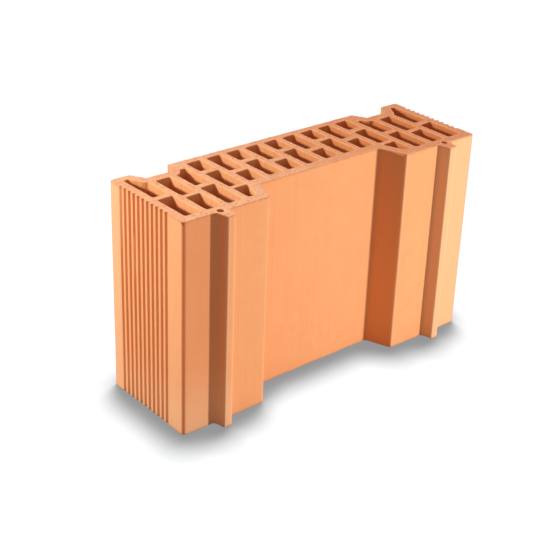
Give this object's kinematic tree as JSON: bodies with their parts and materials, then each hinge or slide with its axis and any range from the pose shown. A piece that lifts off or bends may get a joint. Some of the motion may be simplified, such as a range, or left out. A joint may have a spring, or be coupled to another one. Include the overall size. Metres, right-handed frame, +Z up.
{
  "type": "clay brick",
  "caption": "Vertically cored fired clay block with tongues, a mortar pocket, grooves, plaster-key ribbed ends and staggered through cells, laid in walls.",
  "frame": {"origin": "middle of the bounding box, on the lower bed face", "axes": "+X along the block's length, +Y towards the grooved joint face, +Z up"},
  "size_m": [0.4, 0.138, 0.238],
  "materials": {
    "fired_clay": "matt unglazed fired clay"
  },
  "bodies": {
    "root": {"clay_block": "fired_clay"}
  },
  "joints": []
}
